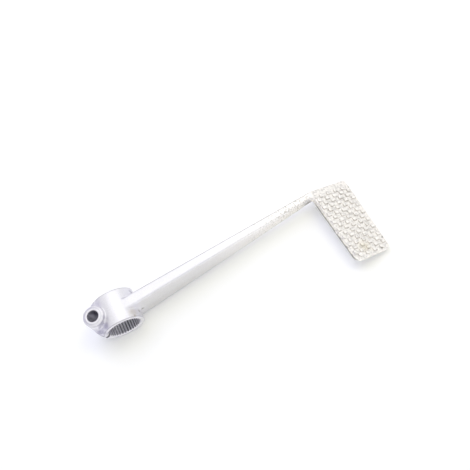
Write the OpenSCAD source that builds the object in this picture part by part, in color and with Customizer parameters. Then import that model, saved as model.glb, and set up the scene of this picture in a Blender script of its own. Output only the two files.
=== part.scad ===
// Rear brake pedal: one aluminium forging with a serrated clamp hub, a tapering arm and a studded foot pad.
// Origin: on the hub's axis, halfway along it. +X runs along the arm, +Z along the pinch bolt to its head.
// The hub's axis is Y. The foot pad reaches towards -Y.

/* [Hub] */
// Wall of the hub outside the roots of its teeth
hub_wall = 2.3; // [1.5:0.1:4]
// Length of the hub along its axis
hub_len = 21.5; // [18:0.5:26]
// Chamfer on the hub's outer edges
hub_edge = 0.4; // [0.2:0.1:1]

/* [Serrated bore] */
// Diameter over the tips of the teeth
bore_d = 20.4; // [16:0.2:26]
// Height of a tooth
tooth_h = 1; // [0.6:0.1:1.3]
// Number of teeth
teeth = 36; // [30:1:40]
// Share of the tooth pitch that is left as a flat tip
tooth_land = 0.4; // [0.34:0.02:0.5]
// Depth of the countersink at each mouth of the bore
mouth_depth = 0.7; // [0.3:0.1:1.5]

/* [Clamp] */
// Width of the slit between the clamp ears
slit_w = 2; // [1:0.25:3]
// How far the pinch bolt's axis lies outside the tips of the teeth
bolt_set = 1.4; // [0.8:0.1:3.8]
// Clearance hole for the pinch bolt in the upper ear
bolt_hole_d = 7; // [6.4:0.1:7.4]
// Core diameter of the tapped hole in the lower ear
tapped_d = 5; // [4.2:0.1:5.4]
// Chamfer round the mouth of the bolt hole
bolt_mouth = 0.4; // [0.1:0.1:0.6]
// Diameter of the boss under the bolt head, at its shoulder
boss_d = 13; // [11.5:0.5:15]
// Diameter of the flat seat on top of the boss
seat_d = 9.6; // [8.8:0.2:11]
// Step from the seat down to the boss's shoulder
seat_step = 0.25; // [0.1:0.05:0.5]
// How far the shoulder slopes down to the boss's side
shoulder_drop = 0.9; // [0.3:0.1:1.5]
// Height of the seat above the hub's crown
seat_rise = 2.8; // [1:0.1:5]
// How far the lower boss ends short of the hub's underside
lower_short = 1.5; // [0.8:0.1:4]
// Widening of the boss from its shoulder down to the slit
boss_flare = 0.9; // [0.3:0.1:1.6]
// How far the ears reach beyond the pinch bolt's axis
ear_reach = 6; // [5.5:0.1:8]
// Height of the ears' rounded flange, measured from the hub's axis
ear_h = 4.2; // [3:0.2:6]
// Radius of the ears' rounded corners, seen along the bolt
ear_r = 8.2; // [5:0.2:8.6]
// Angle round the hub, from the slit up, at which the ears' flange ends
ear_angle = 44; // [36:1:56]

/* [Arm] */
// Distance from the hub's axis to the foot pad's near edge
arm_len = 144; // [110:1:180]
// Width of the arm at the hub
arm_root_w = 8.1; // [6:0.1:11]
// Width of the arm at the foot pad
arm_tip_w = 4.4; // [3.6:0.1:7]
// How far the arm's top and bottom lie inside the hub's crown, at the hub
arm_step = 1.1; // [0.8:0.1:3]
// Depth of the arm at the foot pad
arm_tip_h = 7.4; // [6:0.2:10]
// How far the arm's underside bellies out below a straight line
arm_belly = 0.9; // [0:0.1:2]
// Sideways place of the arm's middle at the hub
arm_root_y = -1.3; // [-2:0.1:2]
// Sideways place of the arm's middle at the foot pad
arm_tip_y = 8; // [4:0.1:9]
// Radius of the arm's rounded edges
arm_edge = 1.3; // [0.6:0.1:1.5]

/* [Foot pad] */
// Length of the pad across the arm
pad_len = 55.2; // [45:0.2:65]
// Width of the pad beside the arm
pad_root_w = 28.4; // [24:0.2:32]
// Width of the pad at its free end
pad_tip_w = 26; // [20:0.2:32]
// Thickness of the plate under the tread
pad_t = 3.6; // [3:0.2:5]
// Downward pitch of the pad's front edge
pad_pitch = 21; // [0:1:30]
// Radius of the corner that lies on the end of the arm
pad_root_corner = 1; // [0.9:0.1:2]
// Radius of the corner between the arm side and the front edge
pad_corner = 2.5; // [1.5:0.1:6]
// Radius of the front corner at the free end
pad_front_corner = 3; // [1.5:0.1:8]
// Radius of the rear corner at the free end
pad_rear_corner = 5; // [2:0.1:9]
// Radius of the web in the inner corner between the arm and the pad
inner_corner = 3.8; // [2:0.2:8]
// Bevel along the pad's upper edge
pad_bevel = 0.5; // [0.2:0.1:0.8]

/* [Tread] */
// Spacing of the studs across the pad's width, from one column to the next staggered one
stud_step_x = 2.88; // [2.8:0.04:4]
// Spacing of the stud rows along the pad
stud_step_y = 2.93; // [2.85:0.01:4]
// Width of a stud at its foot, across the pad's width
stud_foot_x = 3; // [2.2:0.1:3.2]
// Width of a stud at its foot, along the pad
stud_foot_y = 2.6; // [2:0.1:2.8]
// Width of a stud's flat top, across the pad's width
stud_top_x = 1.9; // [1:0.1:2]
// Width of a stud's flat top, along the pad
stud_top_y = 1.5; // [1:0.1:1.8]
// Height of the studs
stud_h = 0.8; // [0.4:0.1:1.2]
// Distance from the pad's rear edge to the middle of the first column of studs
tread_start = 0.1; // [0:0.1:3]
// Plain border between the arm side of the pad and the tread
tread_border = 4.2; // [3:0.2:8]
// Plain border along the pad's front edge
tread_front = 0.8; // [0.6:0.1:3]
// Plain border along the pad's free end
tread_end = 1.4; // [0.6:0.1:4]

/* [Hidden] */
$fn = 96;
eps = 0.02;
// Faces round a rounded edge of the arm
edge_faces = 16;
cast_aluminium = [0.86, 0.86, 0.87];

tip_r = bore_d / 2;
root_r = tip_r + tooth_h;
hub_r = root_r + hub_wall;
tooth_pitch = 360 / teeth;
groove_w = PI * bore_d / teeth * (1 - tooth_land);
groove_floor = groove_w * 0.18;

bolt_x = tip_r + bolt_set;
boss_top = hub_r + seat_rise;
boss_bottom = hub_r - lower_short;
ear_out = bolt_x + ear_reach;

arm_root_h = 2 * (hub_r - arm_step);
arm_near_y = arm_tip_y - arm_tip_w / 2;
pad_far_y = arm_tip_y + arm_tip_w / 2;
pad_near_y = pad_far_y - pad_len;
pad_top_z = arm_tip_h / 2;
pad_lean = pad_root_w - pad_tip_w;

// The arm's half depth, its middle, its half width and the belly of its underside, at a share s of its length
function arm_half(s) = (arm_root_h + (arm_tip_h - arm_root_h) * s) / 2;
function arm_mid(s) = arm_root_y + (arm_tip_y - arm_root_y) * s;
function arm_half_w(s) = (arm_root_w + (arm_tip_w - arm_root_w) * s) / 2;
function belly(s) = 4 * arm_belly * s * (1 - s);

// Places what follows on the pad's upper face: x runs from the arm's end to the front edge, y across the arm
module on_pad() {
    translate([arm_len, 0, pad_top_z]) rotate([0, pad_pitch, 0]) children();
}

// Post at one corner of the pad, with the bevel at its top
module corner_post(x, y, r) {
    translate([x, y, -pad_t]) cylinder(r = r, h = pad_t - pad_bevel, $fn = 32);
    translate([x, y, -pad_bevel]) cylinder(r1 = r, r2 = r - pad_bevel, h = pad_bevel, $fn = 32);
}

module pad_plate() {
    hull() {
        corner_post(pad_root_corner, pad_far_y - pad_root_corner, pad_root_corner);
        corner_post(pad_root_w - pad_corner, pad_far_y - pad_corner, pad_corner);
        corner_post(pad_root_w - pad_front_corner, pad_near_y + pad_front_corner, pad_front_corner);
        corner_post(pad_lean + pad_rear_corner, pad_near_y + pad_rear_corner, pad_rear_corner);
    }
}

// One row of straight ridges with sloping flanks, along +Y, with every second place taken
module ridges(step, foot, top, run, count, shift) {
    for (i = [0 : count])
        translate([(2 * i + shift) * step, 0, 0])
            rotate([90, 0, 0])
                linear_extrude(height = run, center = true)
                    polygon([[-foot / 2, -eps], [foot / 2, -eps], [top / 2, stud_h], [-top / 2, stud_h]]);
}

// Staggered square studs: each is what two crossing ridges have in common
module studs() {
    columns = ceil(pad_root_w / stud_step_x / 2) + 1;
    rows = ceil(pad_len / stud_step_y / 2) + 1;
    span = pad_len + pad_root_w;
    for (shift = [0, 1])
        intersection() {
            translate([tread_start, 0, 0])
                ridges(stud_step_x, stud_foot_x, stud_top_x, 2 * span, columns, shift);
            translate([0, pad_far_y - tread_border - stud_foot_y / 2, 0])
                rotate([0, 0, -90]) ridges(stud_step_y, stud_foot_y, stud_top_y, 2 * span, rows, shift);
        }
}

// The studs, cut off where the pad's edges and its plain borders begin
module tread() {
    rear = pad_bevel + 0.1;
    cut = pad_rear_corner * 0.6;
    intersection() {
        studs();
        translate([0, 0, -1])
            linear_extrude(height = 1 + 2 * stud_h)
                polygon([
                    [rear, pad_far_y],
                    [pad_root_w - tread_front, pad_far_y],
                    [pad_root_w - tread_front, pad_near_y + tread_end],
                    [pad_lean + rear + cut, pad_near_y + tread_end],
                    [pad_lean + rear, pad_near_y + tread_end + cut]
                ]);
    }
}

module pad() {
    on_pad() {
        pad_plate();
        tread();
    }
}

// Web that rounds the inner corner, with the arm's rounded edge along its top
module inner_web() {
    reach = inner_corner * sqrt(2) + arm_edge;
    round_r = inner_corner + arm_edge;
    intersection() {
        translate([arm_len - inner_corner, arm_near_y - inner_corner, pad_top_z])
            rotate_extrude(angle = 90)
                polygon(concat(
                    [for (a = [180 : -15 : 90]) [round_r + arm_edge * cos(a), arm_edge * (sin(a) - 1)]],
                    [[reach, 0], [reach, -pad_t], [inner_corner, -pad_t]]
                ));
        translate([arm_len - inner_corner, arm_near_y - inner_corner, pad_top_z - pad_t])
            cube([inner_corner + pad_bevel, inner_corner + arm_edge, pad_t]);
    }
}

// A rounded section of the arm at a share s of its length
module arm_section(s, drop) {
    y = arm_half_w(s) - arm_edge;
    z = arm_half(s) - arm_edge;
    for (side = [-1, 1]) {
        translate([arm_len * s, arm_mid(s) + side * y, z]) sphere(arm_edge, $fn = edge_faces);
        translate([arm_len * s, arm_mid(s) + side * y, -z - drop]) sphere(arm_edge, $fn = edge_faces);
    }
}

module arm() {
    cuts = [0, 0.33, 0.66, 1];
    for (i = [0 : len(cuts) - 2])
        hull() {
            arm_section(cuts[i], belly(cuts[i]));
            arm_section(cuts[i + 1], belly(cuts[i + 1]));
        }
}

// The arm's end runs on under the pad's border as a tapering rib
module rib() {
    rib_run = pad_root_w * 0.8;
    y = arm_tip_w / 2 - arm_edge;
    hull() {
        arm_section(1, 0);
        on_pad() for (side = [-1, 1])
            translate([rib_run, arm_tip_y + side * y, -pad_t]) sphere(arm_edge, $fn = edge_faces);
    }
}

module hub_body() {
    rotate([90, 0, 0])
        rotate_extrude()
            polygon([
                [0, -hub_len / 2],
                [hub_r - hub_edge, -hub_len / 2],
                [hub_r, hub_edge - hub_len / 2],
                [hub_r, hub_len / 2 - hub_edge],
                [hub_r - hub_edge, hub_len / 2],
                [0, hub_len / 2]
            ]);
}

// Outline of both ears, seen along the bolt: as wide as the hub is long, with rounded corners
module ear_outline() {
    for (side = [-1, 1])
        translate([ear_r - ear_out, side * (hub_len / 2 - ear_r)]) circle(ear_r);
    translate([-ear_out, ear_r - hub_len / 2]) square([ear_out, hub_len - 2 * ear_r]);
    translate([ear_r - ear_out, -hub_len / 2]) square([ear_out - ear_r, hub_len]);
}

// Flange of one ear, sloping up from its edge to the hub's flank
module ear_flange() {
    flank_x = -hub_r * cos(ear_angle);
    flank_z = hub_r * sin(ear_angle) - eps;
    intersection() {
        linear_extrude(height = hub_r) ear_outline();
        rotate([90, 0, 0])
            linear_extrude(height = hub_len, center = true)
                polygon([[-ear_out, 0], [-ear_out, ear_h], [flank_x, flank_z], [0, flank_z], [0, 0]]);
    }
}

// Round boss on the bolt's axis: a flat seat, a small step, a sloping shoulder and a flaring side
module boss(height) {
    translate([-bolt_x, 0, 0])
        rotate_extrude()
            polygon([
                [0, 0],
                [boss_d / 2 + boss_flare, 0],
                [boss_d / 2, height - seat_step - shoulder_drop],
                [seat_d / 2, height - seat_step],
                [seat_d / 2, height],
                [0, height]
            ]);
}

module ears() {
    ear_flange();
    boss(boss_top);
    mirror([0, 0, 1]) {
        ear_flange();
        boss(boss_bottom);
    }
}

// Tooth-tip bore, its grooves and the countersink at each mouth
module serrated_bore() {
    mouth_r = root_r + mouth_depth - tooth_h / 2;
    rotate([90, 0, 0]) {
        cylinder(r = tip_r, h = hub_len + 2, center = true);
        for (i = [0 : teeth - 1])
            rotate([0, 0, (i + 0.5) * tooth_pitch])
                linear_extrude(height = hub_len + 2, center = true)
                    polygon([
                        [tip_r - tooth_h / 2, -(groove_w * 1.5 - groove_floor / 2) / 2],
                        [root_r, -groove_floor / 2],
                        [root_r, groove_floor / 2],
                        [tip_r - tooth_h / 2, (groove_w * 1.5 - groove_floor / 2) / 2]
                    ]);
        for (end = [0, 1])
            mirror([0, 0, end])
                translate([0, 0, hub_len / 2 - mouth_depth])
                    cylinder(r1 = tip_r - eps, r2 = mouth_r, h = mouth_depth + eps);
    }
}

// Clearance hole in the upper ear with its chamfered mouth, and the tapped hole in the lower ear
module bolt_holes() {
    mouth = bolt_mouth + 0.1;
    translate([-bolt_x, 0, 0]) {
        cylinder(d = bolt_hole_d, h = boss_top + 1);
        translate([0, 0, boss_top - bolt_mouth])
            cylinder(d1 = bolt_hole_d, d2 = bolt_hole_d + 2 * mouth, h = mouth);
        translate([0, 0, -boss_bottom - 1]) cylinder(d = tapped_d, h = boss_bottom + 1);
    }
}

module slit() {
    reach = bolt_x + boss_d / 2 + boss_flare + ear_reach;
    translate([-reach, -hub_len / 2 - 1, -slit_w / 2]) cube([reach, hub_len + 2, slit_w]);
}

module brake_pedal() {
    color(cast_aluminium)
        difference() {
            union() {
                hub_body();
                ears();
                arm();
                rib();
                inner_web();
                pad();
            }
            serrated_bore();
            bolt_holes();
            slit();
        }
}

brake_pedal();
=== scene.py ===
import math

import bmesh
import bpy
import numpy as np
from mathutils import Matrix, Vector, noise


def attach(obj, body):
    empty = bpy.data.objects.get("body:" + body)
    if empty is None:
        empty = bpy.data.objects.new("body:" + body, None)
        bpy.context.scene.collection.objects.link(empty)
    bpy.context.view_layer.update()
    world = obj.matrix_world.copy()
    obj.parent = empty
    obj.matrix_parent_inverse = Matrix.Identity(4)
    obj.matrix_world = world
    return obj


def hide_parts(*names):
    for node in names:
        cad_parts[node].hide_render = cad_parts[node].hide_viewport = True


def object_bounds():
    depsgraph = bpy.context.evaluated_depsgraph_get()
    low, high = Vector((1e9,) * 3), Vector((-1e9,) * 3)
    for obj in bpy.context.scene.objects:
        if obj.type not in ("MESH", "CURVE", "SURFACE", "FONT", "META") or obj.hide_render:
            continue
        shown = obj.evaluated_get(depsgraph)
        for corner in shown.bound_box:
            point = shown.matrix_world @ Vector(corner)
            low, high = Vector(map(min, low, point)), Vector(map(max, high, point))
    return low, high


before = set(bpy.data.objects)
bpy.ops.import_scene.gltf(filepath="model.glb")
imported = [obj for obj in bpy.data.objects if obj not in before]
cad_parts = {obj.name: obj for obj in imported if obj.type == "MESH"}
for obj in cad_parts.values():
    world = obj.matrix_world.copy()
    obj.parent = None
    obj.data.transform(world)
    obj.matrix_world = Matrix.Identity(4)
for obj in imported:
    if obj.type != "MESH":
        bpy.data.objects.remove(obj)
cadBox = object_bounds()
mm = 0.001
scene = bpy.context.scene
scene.view_settings.view_transform = "Standard"
print("frame loaded")

# Camera: looking down on the pedal, with the hub at the lower left of the picture
camera = {
    "place": (71.3, -128.0, 327.8),
    "turn": (21.4535, 8.2422, -27.1756),   # degrees about X, Y and Z
    "lens": 42.15,
    "sensor": 36,
    "nearest": 10,
    "farthest": 20000,
}


def addCamera():
    data = bpy.data.cameras.new("camera")
    data.lens = camera["lens"]
    data.sensor_width = camera["sensor"]
    data.clip_start = camera["nearest"] * mm
    data.clip_end = camera["farthest"] * mm
    made = bpy.data.objects.new("camera", data)
    made.location = Vector(camera["place"]) * mm
    made.rotation_euler = [math.radians(angle) for angle in camera["turn"]]
    scene.collection.objects.link(made)
    scene.camera = made


addCamera()
print("camera placed")


def hexColour(code):
    # sRGB hex to linear
    channels = [int(code[i:i + 2], 16) / 255 for i in (1, 3, 5)]
    return [c / 12.92 if c <= 0.04045 else ((c + 0.055) / 1.055) ** 2.4 for c in channels] + [1]


def addNode(tree, kind, settings=None, links=None):
    # settings go on the node's properties or its sockets, links come from other nodes' outputs
    node = tree.nodes.new(kind)
    for key, value in (settings or {}).items():
        if isinstance(key, str) and hasattr(node, key):
            setattr(node, key, value)
        else:
            node.inputs[key].default_value = value
    for key, source in (links or {}).items():
        tree.links.new(source, node.inputs[key])
    return node


def newMaterial(name):
    material = bpy.data.materials.new(name)
    material.use_nodes = True
    material.node_tree.nodes.clear()
    return material, material.node_tree


# Studio: a white sky that turns pale lilac away from its brightest side, soft lamps and a white floor
studio = {
    "skyHigh": "#FCFCFD",
    "skyLow": "#C6C3DA",
    "skyAxis": (0.30, -0.15, 0.94),   # the sky is whitest this way
    "skyRise": {"From Min": -0.2, "From Max": 0.42},   # shares of that way between which it turns white
    "skyOnMatt": 0.76,                # level of the sky on matt surfaces, where the lamps do the rest
    "lamps": {
        # name: place, what it points at, size, watts, colour, whether it lights matt surfaces or metal
        "key": ((330, 60, 540), (90, -10, 0), 340, 0.72, "#FFF7BE", "matt"),
        "window": ((520, 40, 330), (90, -10, 0), 300, 0.16, "#FFFFFF", "matt"),
        "side": ((10, 310, 540), (70, -10, 0), 520, 1.5, "#DADAFF", "matt"),
        "back": ((60, 480, 330), (70, -10, 0), 400, 0.34, "#FFFFFF", "matt"),
        "softbox": ((235, 215, 550), (80, -10, 0), 780, 0.6, "#FFFFFF", "metal"),
    },
    "floorSize": 6000,
    "floorLift": -13.5,      # the hub's lowest line
    "floorTilt": 1.29,       # degrees: the pedal lies on its hub and on the pad's front edge
    "floorColour": "#F4F5F5",
    "floorGlow": 0.12,       # light that the camera, metal and glass see, so that the lit floor is white
}


def addWorld():
    world = bpy.data.worlds.new("studio")
    scene.world = world
    world.use_nodes = True
    world.cycles.sampling_method = "NONE"   # rays meet the sky themselves, each as its own kind
    tree = world.node_tree
    tree.nodes.clear()
    way = addNode(tree, "ShaderNodeTexCoord").outputs["Generated"]
    towards = addNode(tree, "ShaderNodeVectorMath", {"operation": "DOT_PRODUCT", 1: studio["skyAxis"]},
                      {0: way})
    rise = addNode(tree, "ShaderNodeMapRange", {"interpolation_type": "SMOOTHSTEP", **studio["skyRise"]},
                   {"Value": towards.outputs["Value"]})
    sky = addNode(tree, "ShaderNodeMix", {"data_type": "RGBA", 6: hexColour(studio["skyLow"]),
                                          7: hexColour(studio["skyHigh"])}, {0: rise.outputs[0]})
    path = addNode(tree, "ShaderNodeLightPath")
    level = addNode(tree, "ShaderNodeMapRange", {"To Min": 1.0, "To Max": studio["skyOnMatt"]},
                    {"Value": path.outputs["Is Diffuse Ray"]})
    light = addNode(tree, "ShaderNodeBackground", None,
                    {"Color": sky.outputs[2], "Strength": level.outputs[0]})
    addNode(tree, "ShaderNodeOutputWorld", None, {"Surface": light.outputs[0]})


def addLamps():
    for name, (place, target, size, watts, colour, lights) in studio["lamps"].items():
        data = bpy.data.lights.new(name, "AREA")
        data.shape = "DISK"
        data.size = size * mm
        data.energy = watts
        data.color = hexColour(colour)[:3]
        lamp = bpy.data.objects.new(name, data)
        lamp.visible_glossy = lights == "metal"
        lamp.visible_diffuse = lights == "matt"
        lamp.location = Vector(place) * mm
        aim = Vector(target) * mm - lamp.location
        lamp.rotation_mode = "QUATERNION"
        lamp.rotation_quaternion = aim.to_track_quat("-Z", "Y")
        scene.collection.objects.link(lamp)


def paintedBoard():
    # matt white paint: no gloss of its own, only the pedal's soft shade lies on it
    material, tree = newMaterial("whitePaintedBoard")
    paint = addNode(tree, "ShaderNodeBsdfDiffuse",
                    {"Color": hexColour(studio["floorColour"]), "Roughness": 1.0})
    path = addNode(tree, "ShaderNodeLightPath")
    seen = path.outputs["Is Camera Ray"]
    for kind in ("Is Glossy Ray", "Is Transmission Ray"):
        either = addNode(tree, "ShaderNodeMath", {"operation": "MAXIMUM"}, {0: seen, 1: path.outputs[kind]})
        seen = either.outputs[0]
    level = addNode(tree, "ShaderNodeMath", {"operation": "MULTIPLY", 1: studio["floorGlow"]}, {0: seen})
    glow = addNode(tree, "ShaderNodeEmission", {"Color": (1, 1, 1, 1)}, {"Strength": level.outputs[0]})
    both = addNode(tree, "ShaderNodeAddShader", None, {0: paint.outputs[0], 1: glow.outputs[0]})
    addNode(tree, "ShaderNodeOutputMaterial", None, {"Surface": both.outputs[0]})
    return material


def addFloor():
    mesh = bpy.data.meshes.new("floor")
    bm = bmesh.new()
    bmesh.ops.create_grid(bm, x_segments=1, y_segments=1, size=studio["floorSize"] * mm / 2)
    bm.to_mesh(mesh)
    bm.free()
    floor = bpy.data.objects.new("floor", mesh)
    floor.location = (0, 0, studio["floorLift"] * mm)
    floor.rotation_euler = (0, -math.radians(studio["floorTilt"]), 0)
    scene.collection.objects.link(floor)
    mesh.materials.append(paintedBoard())


addWorld()
addLamps()
addFloor()
print("studio ready")

# The forging: its skin is rebuilt on a fine grid, so that edges and corners can be softened
# as the dies left them
forging = {
    "merge": 0.004,          # points of the solid's mesh that are this close become one
    "grid": 0.27,
    "skinPasses": 2,         # light rounding of every edge
    "filletPasses": 70,      # deep rounding where the arm, the boss, the hub and the pad run into each other
    "passStrength": 0.5,     # share of the way that a pass moves a point towards its neighbours
    "passLevels": 16,        # steps between no rounding and full rounding
    "boreSpared": 0.7,       # shares of the light rounding that the bore and the tread are spared
    "treadSpared": 0.3,
    "faces": 190000,         # triangles left when the flat stretches have been thinned
    "boltAxis": -11.6,       # along the arm
    "armLength": 144,
    "padPitch": 21,          # degrees
    "padTop": 3.7,           # height of the pad's near edge
    "innerCorner": (141.5, 4.2),
    "bossLow": (-0.5, -0.86),   # the way that the boss's side faces which is lowest in the picture
    "studShadedSide": (-0.6, -0.8),    # the way that those sides of the studs face which are painted in shade
    # each zone lists measures, with the value at which it starts and the one at which it is whole
    "zones": {
        "bore": (("axial", 12.2, 11.6),),
        "tread": (("padAcross", -1.5, -0.5), ("padUp", -0.4, 0.05)),
        "armRoot": (("axial", 12.4, 13.2), ("axial", 18.0, 15.0), ("along", 2, 6), ("aside", 10.2, 9.6)),
        "bossFoot": (("fromBolt", 6.0, 6.4), ("fromBolt", 10.0, 8.6), ("up", 2.0, 3.2), ("up", 14.6, 13.6),
                     ("aside", 10.4, 9.6)),
        "padCorner": (("fromCorner", 6.0, 3.5), ("padAcross", 0.2, -0.4)),
    },
}


def copyOfNode(name):
    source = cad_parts[name]
    bm = bmesh.new()
    bm.from_mesh(source.data)
    bmesh.ops.remove_doubles(bm, verts=bm.verts, dist=forging["merge"] * mm)
    bm.normal_update()
    mesh = bpy.data.meshes.new(name + "_forged")
    bm.to_mesh(mesh)
    bm.free()
    made = bpy.data.objects.new(name + "_forged", mesh)
    scene.collection.objects.link(made)
    return made


def applyModifiers(piece):
    bpy.context.view_layer.update()
    graph = bpy.context.evaluated_depsgraph_get()
    mesh = bpy.data.meshes.new_from_object(piece.evaluated_get(graph))
    piece.modifiers.clear()
    old = piece.data
    piece.data = mesh
    bpy.data.meshes.remove(old)


def pointsOf(piece):
    points = np.empty(len(piece.data.vertices) * 3)
    piece.data.vertices.foreach_get("co", points)
    return points.reshape(-1, 3) / mm


def normalsOf(piece):
    normals = np.empty(len(piece.data.vertices) * 3)
    piece.data.vertices.foreach_get("normal", normals)
    return normals.reshape(-1, 3)


def movePoints(piece, points):
    # never past the box of the solid
    low, high = (np.array(corner) / mm for corner in cadBox)
    piece.data.vertices.foreach_set("co", (np.clip(points, low, high) * mm).ravel())
    piece.data.update()


def measuresOf(points, normals):
    # where each point lies, in millimetres, and how squarely its skin faces some ways
    x, y, z = points.T
    fromBolt = np.hypot(x - forging["boltAxis"], y)
    lowX, lowY = forging["bossLow"]
    shadeX, shadeY = forging["studShadedSide"]
    cornerX, cornerY = forging["innerCorner"]
    pitch = math.radians(forging["padPitch"])
    pastArm = x - forging["armLength"]
    overEdge = z - forging["padTop"]
    return {
        "along": x,
        "far": y,
        "up": z,
        "aside": np.abs(y),          # from the middle of the hub
        "level": np.abs(z),          # from the middle of the slit
        "axial": np.hypot(x, z),     # from the hub's axis
        "fromBolt": fromBolt,
        "bossLower": ((x - forging["boltAxis"]) * lowX + y * lowY) / fromBolt,
        "fromCorner": np.hypot(x - cornerX, y - cornerY),
        "padAcross": pastArm * math.cos(pitch) - overEdge * math.sin(pitch),   # from the pad's near edge
        "padUp": pastArm * math.sin(pitch) + overEdge * math.cos(pitch),       # over the pad's plate
        "facesBack": -normals[:, 0],
        "facesNear": -normals[:, 1],
        "facesFar": normals[:, 1],
        "facesUp": normals[:, 2],
        "facesStudShade": normals[:, 0] * shadeX + normals[:, 1] * shadeY,
    }


def ramp(values, start, whole):
    # 0 at start and 1 at whole, smooth between, whichever of the two is the larger
    share = np.clip((values - start) / (whole - start), 0, 1)
    return share * share * (3 - 2 * share)


def inZone(zone, measures):
    # 1 where every measure is past its whole value; a fourth value is the least that one falls to
    inside = 1
    for name, start, whole, *least in zone:
        rise = ramp(measures[name], start, whole)
        if least:
            rise = least[0] + (1 - least[0]) * rise
        inside = inside * rise
    return inside


def smoothGroup(piece, name, weights, passes):
    group = piece.vertex_groups.new(name=name)
    levels = forging["passLevels"]
    level = np.round(weights * levels).astype(int)
    for step in range(1, levels + 1):
        chosen = np.nonzero(level == step)[0]
        if len(chosen):
            group.add(chosen.tolist(), step / levels, "REPLACE")
    smoother = piece.modifiers.new(name, "SMOOTH")
    smoother.factor = forging["passStrength"]
    smoother.iterations = passes
    smoother.vertex_group = group.name


def forgeSkin():
    piece = copyOfNode("brake_pedal")
    remesh = piece.modifiers.new("grid", "REMESH")
    remesh.mode = "VOXEL"
    remesh.voxel_size = forging["grid"] * mm
    remesh.adaptivity = 0
    applyModifiers(piece)
    points = pointsOf(piece)
    print("grid skin", len(points))
    measures = measuresOf(points, normalsOf(piece))
    share = {name: inZone(zone, measures) for name, zone in forging["zones"].items()}
    skin = 1 - forging["boreSpared"] * share["bore"] - forging["treadSpared"] * share["tread"]
    fillets = np.clip(share["armRoot"] + share["bossFoot"] + share["padCorner"], 0, 1) * (1 - share["bore"])
    smoothGroup(piece, "skin", skin, forging["skinPasses"])
    smoothGroup(piece, "fillets", fillets, forging["filletPasses"])
    applyModifiers(piece)
    piece.vertex_groups.clear()
    return piece


# Wear: the forging's slight waviness, the trodden studs and the nicks. A noise is given by its width and seed
wear = {
    "waves": ((9.0, 0.06), (1.3, 0.03)),       # width and height of the waviness and of the grain
    "machined": (("axial", 12.5, 11.7),),      # the bore has neither
    "studs": (("padAcross", 0.2, 0.8), ("padUp", 0.1, 0.5)),
    "studPush": 0.5,         # how far a stud is pushed about at most
    "pushAlong": (3.1, 4.7),
    "pushAside": (3.1, 8.3),
    "studSpread": 0.4,       # how far its skin is spread
    "studWorn": 0.45,        # how much of its height is trodden off at most
    "wornMiddle": 0.5,       # the usual share of that, and how far it swings from stud to stud
    "wornSwing": 0.9,
    "wornNoise": (4.2, 2.1),
    "plate": (("padAcross", 0.6, 1.4), ("padUp", -0.3, -0.1)),
    "treadRough": 0.14,      # height of the trodden skin between the studs
    "roughNoise": (0.9, 5.5),
    "nickFloor": 0.2,        # share of a nick's width that is as deep as its middle
    # place, width and depth
    "nicks": [
        ((144.7, -22.3, 1.9), 2.0, 1.0),
        ((144.9, -26.6, 1.4), 1.5, 0.4),
        ((145.2, -33.6, 1.2), 1.7, 0.5),
        ((146.4, -39.8, 1.2), 1.5, 0.45),
        ((148.5, -41.5, 1.5), 1.6, 0.3),
        ((10.4, -10.0, 8.8), 1.2, 0.25),
        ((76.0, -2.6, 7.2), 1.1, 0.2),
    ],
}


def noiseField(points, width, seed=0.0):
    # smooth noise from -1 to 1 whose patches are this wide
    return np.array([noise.noise(Vector(p) / width + Vector((seed, seed, seed))) for p in points])


def roughen(piece):
    points, normals = pointsOf(piece), normalsOf(piece)
    lift = sum(height * noiseField(points, width) for width, height in wear["waves"])
    machined = inZone(wear["machined"], measuresOf(points, normals))
    points = points + normals * (lift * (1 - machined))[:, None]
    # each stud is pushed about and trodden down by its own amount
    measures = measuresOf(points, normals)
    onStud = inZone(wear["studs"], measures)
    push = np.zeros_like(points)
    push[:, 0] = noiseField(points, *wear["pushAlong"])
    push[:, 1] = noiseField(points, *wear["pushAside"])
    points += push * (onStud * wear["studPush"])[:, None] + normals * (onStud * wear["studSpread"])[:, None]
    trodden = np.clip(wear["wornMiddle"] + wear["wornSwing"] * noiseField(points, *wear["wornNoise"]), 0, 1)
    pitch = math.radians(forging["padPitch"])
    offPad = np.array([[math.sin(pitch), 0, math.cos(pitch)]])
    points -= offPad * (onStud * trodden * wear["studWorn"])[:, None]
    onPlate = inZone(wear["plate"], measures) * (1 - onStud)
    points += normals * (onPlate * wear["treadRough"] * noiseField(points, *wear["roughNoise"]))[:, None]
    for place, width, depth in wear["nicks"]:
        reach = np.linalg.norm(points - np.array(place), axis=1)
        points -= normals * (depth * ramp(reach, width, width * wear["nickFloor"]))[:, None]
    movePoints(piece, points)
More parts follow.
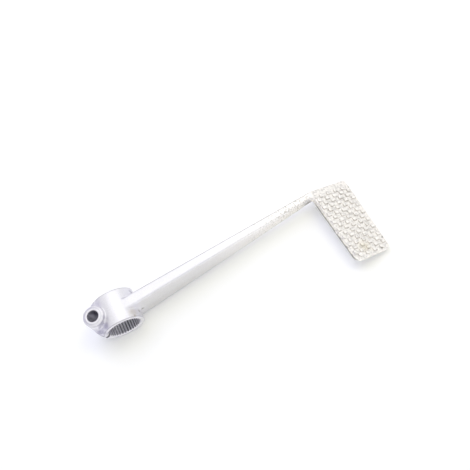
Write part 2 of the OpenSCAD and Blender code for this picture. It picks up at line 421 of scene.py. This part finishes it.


# Painted shade in creases, holes, the studs' shaded sides and the arm's near flank: each group is one channel
# of a colour on the points, named after its colour in the finish. A zone has how dark it gets, then its
# measures.
paintedShade = {
    # painted shade: bore grooves, slit gap, boss lip's lower side, hub rims, pad's front face, arm's far edge
    "paintedCreaseShade": {
        "grooves": (1.0, ("axial", 10.35, 10.95), ("axial", 12.1, 11.6), ("aside", 10.3, 9.9),
                    ("along", -6, 0, 0.7)),
        "slit": (0.75, ("level", 1.6, 1.1), ("along", -10.6, -11.5)),
        "bossLip": (0.75, ("fromBolt", 6.25, 6.85), ("fromBolt", 7.75, 7.15), ("up", 13.0, 14.0),
                    ("up", 15.5, 15.0), ("bossLower", -0.2, 0.6, 0.3)),
        "hubRims": (0.35, ("axial", 12.9, 13.3), ("axial", 13.9, 13.5), ("aside", 10.0, 10.4),
                    ("aside", 11.0, 10.6)),
        "padFront": (0.6, ("facesBack", 0.5, 0.8), ("along", 142, 143.5), ("padUp", -1.7, -2.4),
                     ("far", 3, -1)),
        "armFarEdge": (0.3, ("facesFar", 0.3, 0.55), ("facesUp", 0.15, 0.4), ("along", 16, 24),
                       ("along", 141, 136)),
    },
    # painted shade inside the bolt hole and in the shallow groove round it
    "paintedHoleShade": {
        "boltHole": (1.0, ("fromBolt", 3.75, 3.4), ("up", 15.8, 14.6)),
        "bossRing": (0.35, ("fromBolt", 4.75, 5.1), ("fromBolt", 5.65, 5.3), ("up", 14.2, 15.0)),
    },
    # painted shade between the studs and on their sides turned away from the light
    "paintedStudShade": {
        "studGaps": (0.07, ("padAcross", 0.4, 1.2), ("padUp", 0.5, 0.05), ("padUp", -0.6, -0.3)),
        "studSides": (1.0, ("padAcross", 0.4, 1.2), ("padUp", 0.0, 0.15), ("padUp", 0.7, 0.4),
                      ("facesStudShade", -0.1, 0.25)),
    },
    # painted shade on the arm's near flank, which faces away from the lamps
    "paintedFlankShade": {
        "armSide": (1.0, ("facesNear", 0.3, 0.9), ("along", 14, 20), ("along", 115, 50)),
    },
}


# paints the shade of each group onto the points as one colour
def paintShadeOn(piece):
    measures = measuresOf(pointsOf(piece), normalsOf(piece))
    channels = [np.maximum.reduce([most * inZone(zone, measures) for most, *zone in group.values()])
                for group in paintedShade.values()]
    spots = piece.data.color_attributes.new("paintedShade", "FLOAT_COLOR", "POINT")
    spots.data.foreach_set("color", np.stack(channels, axis=1).ravel())


def triangles(piece):
    return sum(len(p.vertices) - 2 for p in piece.data.polygons)


def thin(piece):
    if triangles(piece) > forging["faces"]:
        fewer = piece.modifiers.new("thin", "DECIMATE")
        fewer.ratio = forging["faces"] / triangles(piece)
        applyModifiers(piece)
        movePoints(piece, pointsOf(piece))
    print("triangles", triangles(piece))


# Finish: forged aluminium tumbled with abrasive, which leaves a pale satin with a fine grain, soft grey
# patches and blurred reflections. Fine scratches run along the arm, and pits and a warmer tone come in
# towards the pad.
satin = {
    "metal": "#EFEEF0",
    "metalCool": "#E9E8EE",
    "metalWarm": "#FDFAF5",
    # colours of painted shade: in creases, in the bolt hole, on the studs' shaded sides and on the arm's near
    # flank
    "paintedCreaseShade": "#46484D",
    "paintedHoleShade": "#CFCFD6",
    "paintedStudShade": "#C9C5BE",
    "paintedFlankShade": "#F6F6F3",   # painted shade: the arm's near flank is darker than its crown
    "pitShade": "#B8B5AF",
    "noises": {
        # name: width, detail and roughness. Grain and scratches are coarser than real, so that they show
        "mottle": (9, 5.0, 0.6),
        "grain": (0.5, 3.0, 0.6),
        "ragged": (1.4, 4.0, 0.7),
        "pits": (0.9, 2.0, 0.5),
        "tread": (1.3, 2.0, 0.5),
        "scratches": (0.35, 2.0, 0.5),
    },
    "scratchAlong": 0.06,    # the scratches are drawn out along the arm by one over this
    "scratchHeight": 0.35,   # against the grain's
    "bump": {"Strength": 0.4, "Distance": 0.05 * mm},
    # between which places along the arm a look changes, and to what
    "warmer": {"From Min": 60, "From Max": 142},
    "onPad": {"From Min": 138, "From Max": 146},
    "pitsAlong": {"From Min": 85, "From Max": 130, "To Min": 0.06, "To Max": 0.75},
    "pitsOnPad": {"From Min": 138, "From Max": 146, "To Min": 1.0, "To Max": 0.1},
    # the same for how far the skin faces up, then for the noises of pits, tread, grain and mottle
    "pitsBelow": {"From Min": -0.7, "From Max": -0.2, "To Min": 0.2, "To Max": 1.0},
    "pitted": {"From Min": 0.51, "From Max": 0.62},
    "treadWorn": {"From Min": 0.38, "From Max": 0.52, "To Min": 0.76, "To Max": 1.0},
    "speck": {"From Min": 0.3, "From Max": 0.7, "To Min": 0.95, "To Max": 1.03},
    "roughness": {"From Min": 0.3, "From Max": 0.7, "To Min": 0.35, "To Max": 0.52},
    "markInside": 0.6,       # a mark fades between these shares of its radius
    "markOutside": 1.5,
    "marks": {
        # name: place, radius, colour, strength
        "hubStain": ((10.2, -7.5, 9.2), 4.4, "#E9E2CF", 0.5),
        "hubStainEdge": ((10.6, -9.9, 8.7), 1.3, "#B5AB98", 0.6),
        "hubStainTop": ((9.2, -3.4, 10.6), 1.2, "#C9C2B2", 0.5),
        "hubStainSide": ((13.2, -6.6, 3.4), 1.6, "#B9B4AA", 0.6),
        "armRootSpot": ((14.6, -4.3, -2.0), 1.6, "#A39E94", 0.7),
        # painted shadow where the arm's far side runs into the hub
        "armFarPatch": ((13.0, 7.6, 3.2), 3.0, "#A3A3AC", 0.55),
        "armSideDirt": ((53.0, -2.6, -4.6), 1.6, "#A8A8A6", 0.5),
        # painted shadow in the inner corner between the arm and the pad
        "innerCorner": ((140.2, 5.0, -2.6), 4.4, "#8E8C88", 0.8),
        # painted shade in the valley between the boss and the hub
        "valleyTop": ((-6.5, -3.0, 14.0), 2.2, "#C6C5D4", 0.6),
        "valleyFoot": ((-7.4, -7.8, 11.0), 3.4, "#C3C1D2", 0.7),
        "valleyEnd": ((-9.6, -9.8, 7.2), 3.2, "#BEBECA", 0.7),
        # painted shade in the deepest nick of the pad's edge
        "nickDirt": ((144.9, -21.2, 2.0), 1.0, "#8F8F96", 0.8),
        # painted shade down the boss's lower side and on its outer lip
        "bossFoot": ((-14.5, -8.0, 6.0), 6.5, "#CCCBD6", 0.85),
        "bossLip": ((-17.4, -3.8, 13.6), 1.8, "#C6C6D0", 0.4),
        # a painted shadow line along the upper ear's edge over the slit
        "earEdgeLow": ((-15.9, -7.7, 5.0), 0.8, "#77777F", 0.7),
        "earEdgeMiddle": ((-15.1, -8.5, 5.3), 0.8, "#77777F", 0.7),
        "earEdgeEnd": ((-14.3, -9.2, 5.5), 0.8, "#77777F", 0.7),
        "padSpot": ((149.6, -7.0, 1.8), 1.3, "#B9A78E", 0.6),
        "padMarkLow": ((169.5, -36.8, -6.2), 1.4, "#9C9A96", 0.7),
        "padMarkEnd": ((164.6, -43.4, -4.2), 1.3, "#A09E9A", 0.6),
        "padMarkCorner": ((170.0, 4.2, -6.2), 1.4, "#A09E9A", 0.6),
        "padYellow": ((155.0, -38.0, -0.4), 6.0, "#F6F2E2", 0.6),
    },
}


def tumbledAluminium():
    material, tree = newMaterial("tumbledForgedAluminium")
    metres = addNode(tree, "ShaderNodeTexCoord").outputs["Object"]
    scaled = addNode(tree, "ShaderNodeVectorMath", {"operation": "SCALE", "Scale": 1 / mm}, {0: metres})
    place = scaled.outputs[0]   # in millimetres
    stretched = addNode(tree, "ShaderNodeMapping", {"Scale": (satin["scratchAlong"], 1, 1)}, {"Vector": place})
    fields = {}
    for name, (width, detail, fine) in satin["noises"].items():
        vector = stretched.outputs[0] if name == "scratches" else place
        field = addNode(tree, "ShaderNodeTexNoise", {"Scale": 1 / width, "Detail": detail, "Roughness": fine},
                        {"Vector": vector})
        fields[name] = field.outputs["Fac"]
    along = addNode(tree, "ShaderNodeSeparateXYZ", None, {0: place}).outputs["X"]
    facing = addNode(tree, "ShaderNodeNewGeometry").outputs["Normal"]
    facesUp = addNode(tree, "ShaderNodeSeparateXYZ", None, {0: facing}).outputs["Z"]
    sources = {"warmer": along, "onPad": along, "pitsAlong": along, "pitsOnPad": along, "pitsBelow": facesUp,
               "pitted": fields["pits"], "treadWorn": fields["tread"], "speck": fields["grain"],
               "roughness": fields["mottle"]}
    looks = {name: addNode(tree, "ShaderNodeMapRange", satin[name], {"Value": source}).outputs[0]
             for name, source in sources.items()}

    # clean metal: soft grey patches, warmer towards the pad
    tone = addNode(tree, "ShaderNodeMix", {"data_type": "RGBA", 6: hexColour(satin["metalCool"]),
                                           7: hexColour(satin["metal"])}, {0: fields["mottle"]}).outputs[2]
    tone = addNode(tree, "ShaderNodeMix", {"data_type": "RGBA", 7: hexColour(satin["metalWarm"])},
                   {0: looks["warmer"], 6: tone}).outputs[2]
    # what darkens it, as an amount and a colour: first the painted shade that the points carry
    carried = addNode(tree, "ShaderNodeAttribute", {"attribute_name": "paintedShade"})
    split = addNode(tree, "ShaderNodeSeparateColor", None, {0: carried.outputs["Color"]})
    amounts = (split.outputs["Red"], split.outputs["Green"], split.outputs["Blue"], carried.outputs["Alpha"])
    layers = [(amount, satin[group]) for amount, group in zip(amounts, paintedShade)]
    # stains and rubbed spots, and painted shade in the valley, down the boss, along the slit, in the inner
    # corner and in a nick, each with a ragged edge
    for spot, radius, shade, strength in satin["marks"].values():
        reach = addNode(tree, "ShaderNodeVectorMath", {"operation": "DISTANCE", 1: spot}, {0: place})
        ragged = addNode(tree, "ShaderNodeMath", {"operation": "MULTIPLY_ADD", 1: radius},
                         {0: fields["ragged"], 2: reach.outputs["Value"]})
        mask = addNode(tree, "ShaderNodeMapRange", {"interpolation_type": "SMOOTHSTEP",
                                                    "From Min": satin["markInside"] * radius,
                                                    "From Max": satin["markOutside"] * radius,
                                                    "To Min": strength, "To Max": 0.0},
                       {"Value": ragged.outputs[0]})
        layers.append((mask.outputs[0], shade))
    # pits in the skin, thicker towards the pad and few below
    pits = looks["pitted"]
    for name in ("pitsAlong", "pitsOnPad", "pitsBelow"):
        pits = addNode(tree, "ShaderNodeMath", {"operation": "MULTIPLY"}, {0: pits, 1: looks[name]}).outputs[0]
    layers.append((pits, satin["pitShade"]))
    for amount, shade in layers:
        tone = addNode(tree, "ShaderNodeMix",
                       {"data_type": "RGBA", "blend_type": "MULTIPLY", 7: hexColour(shade)},
                       {0: amount, 6: tone}).outputs[2]
    # the trodden pad is blotchy, and the grain specks all of it
    tone = addNode(tree, "ShaderNodeMix", {"data_type": "RGBA", "blend_type": "MULTIPLY"},
                   {0: looks["onPad"], 6: tone, 7: looks["treadWorn"]}).outputs[2]
    colour = addNode(tree, "ShaderNodeMix", {"data_type": "RGBA", "blend_type": "MULTIPLY", 0: 1.0},
                     {6: tone, 7: looks["speck"]})
    height = addNode(tree, "ShaderNodeMath", {"operation": "MULTIPLY_ADD", 1: satin["scratchHeight"]},
                     {0: fields["scratches"], 2: fields["grain"]})
    bump = addNode(tree, "ShaderNodeBump", satin["bump"], {"Height": height.outputs[0]})
    shader = addNode(tree, "ShaderNodeBsdfPrincipled", {"Metallic": 1.0},
                     {"Base Color": colour.outputs[2], "Roughness": looks["roughness"],
                      "Normal": bump.outputs[0]})
    addNode(tree, "ShaderNodeOutputMaterial", None, {"Surface": shader.outputs[0]})
    return material


pedal = forgeSkin()
roughen(pedal)
thin(pedal)
pedal.data.shade_smooth()
paintShadeOn(pedal)
pedal.data.materials.clear()
pedal.data.materials.append(tumbledAluminium())
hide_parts("brake_pedal")
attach(pedal, "root")
print("pedal finished")
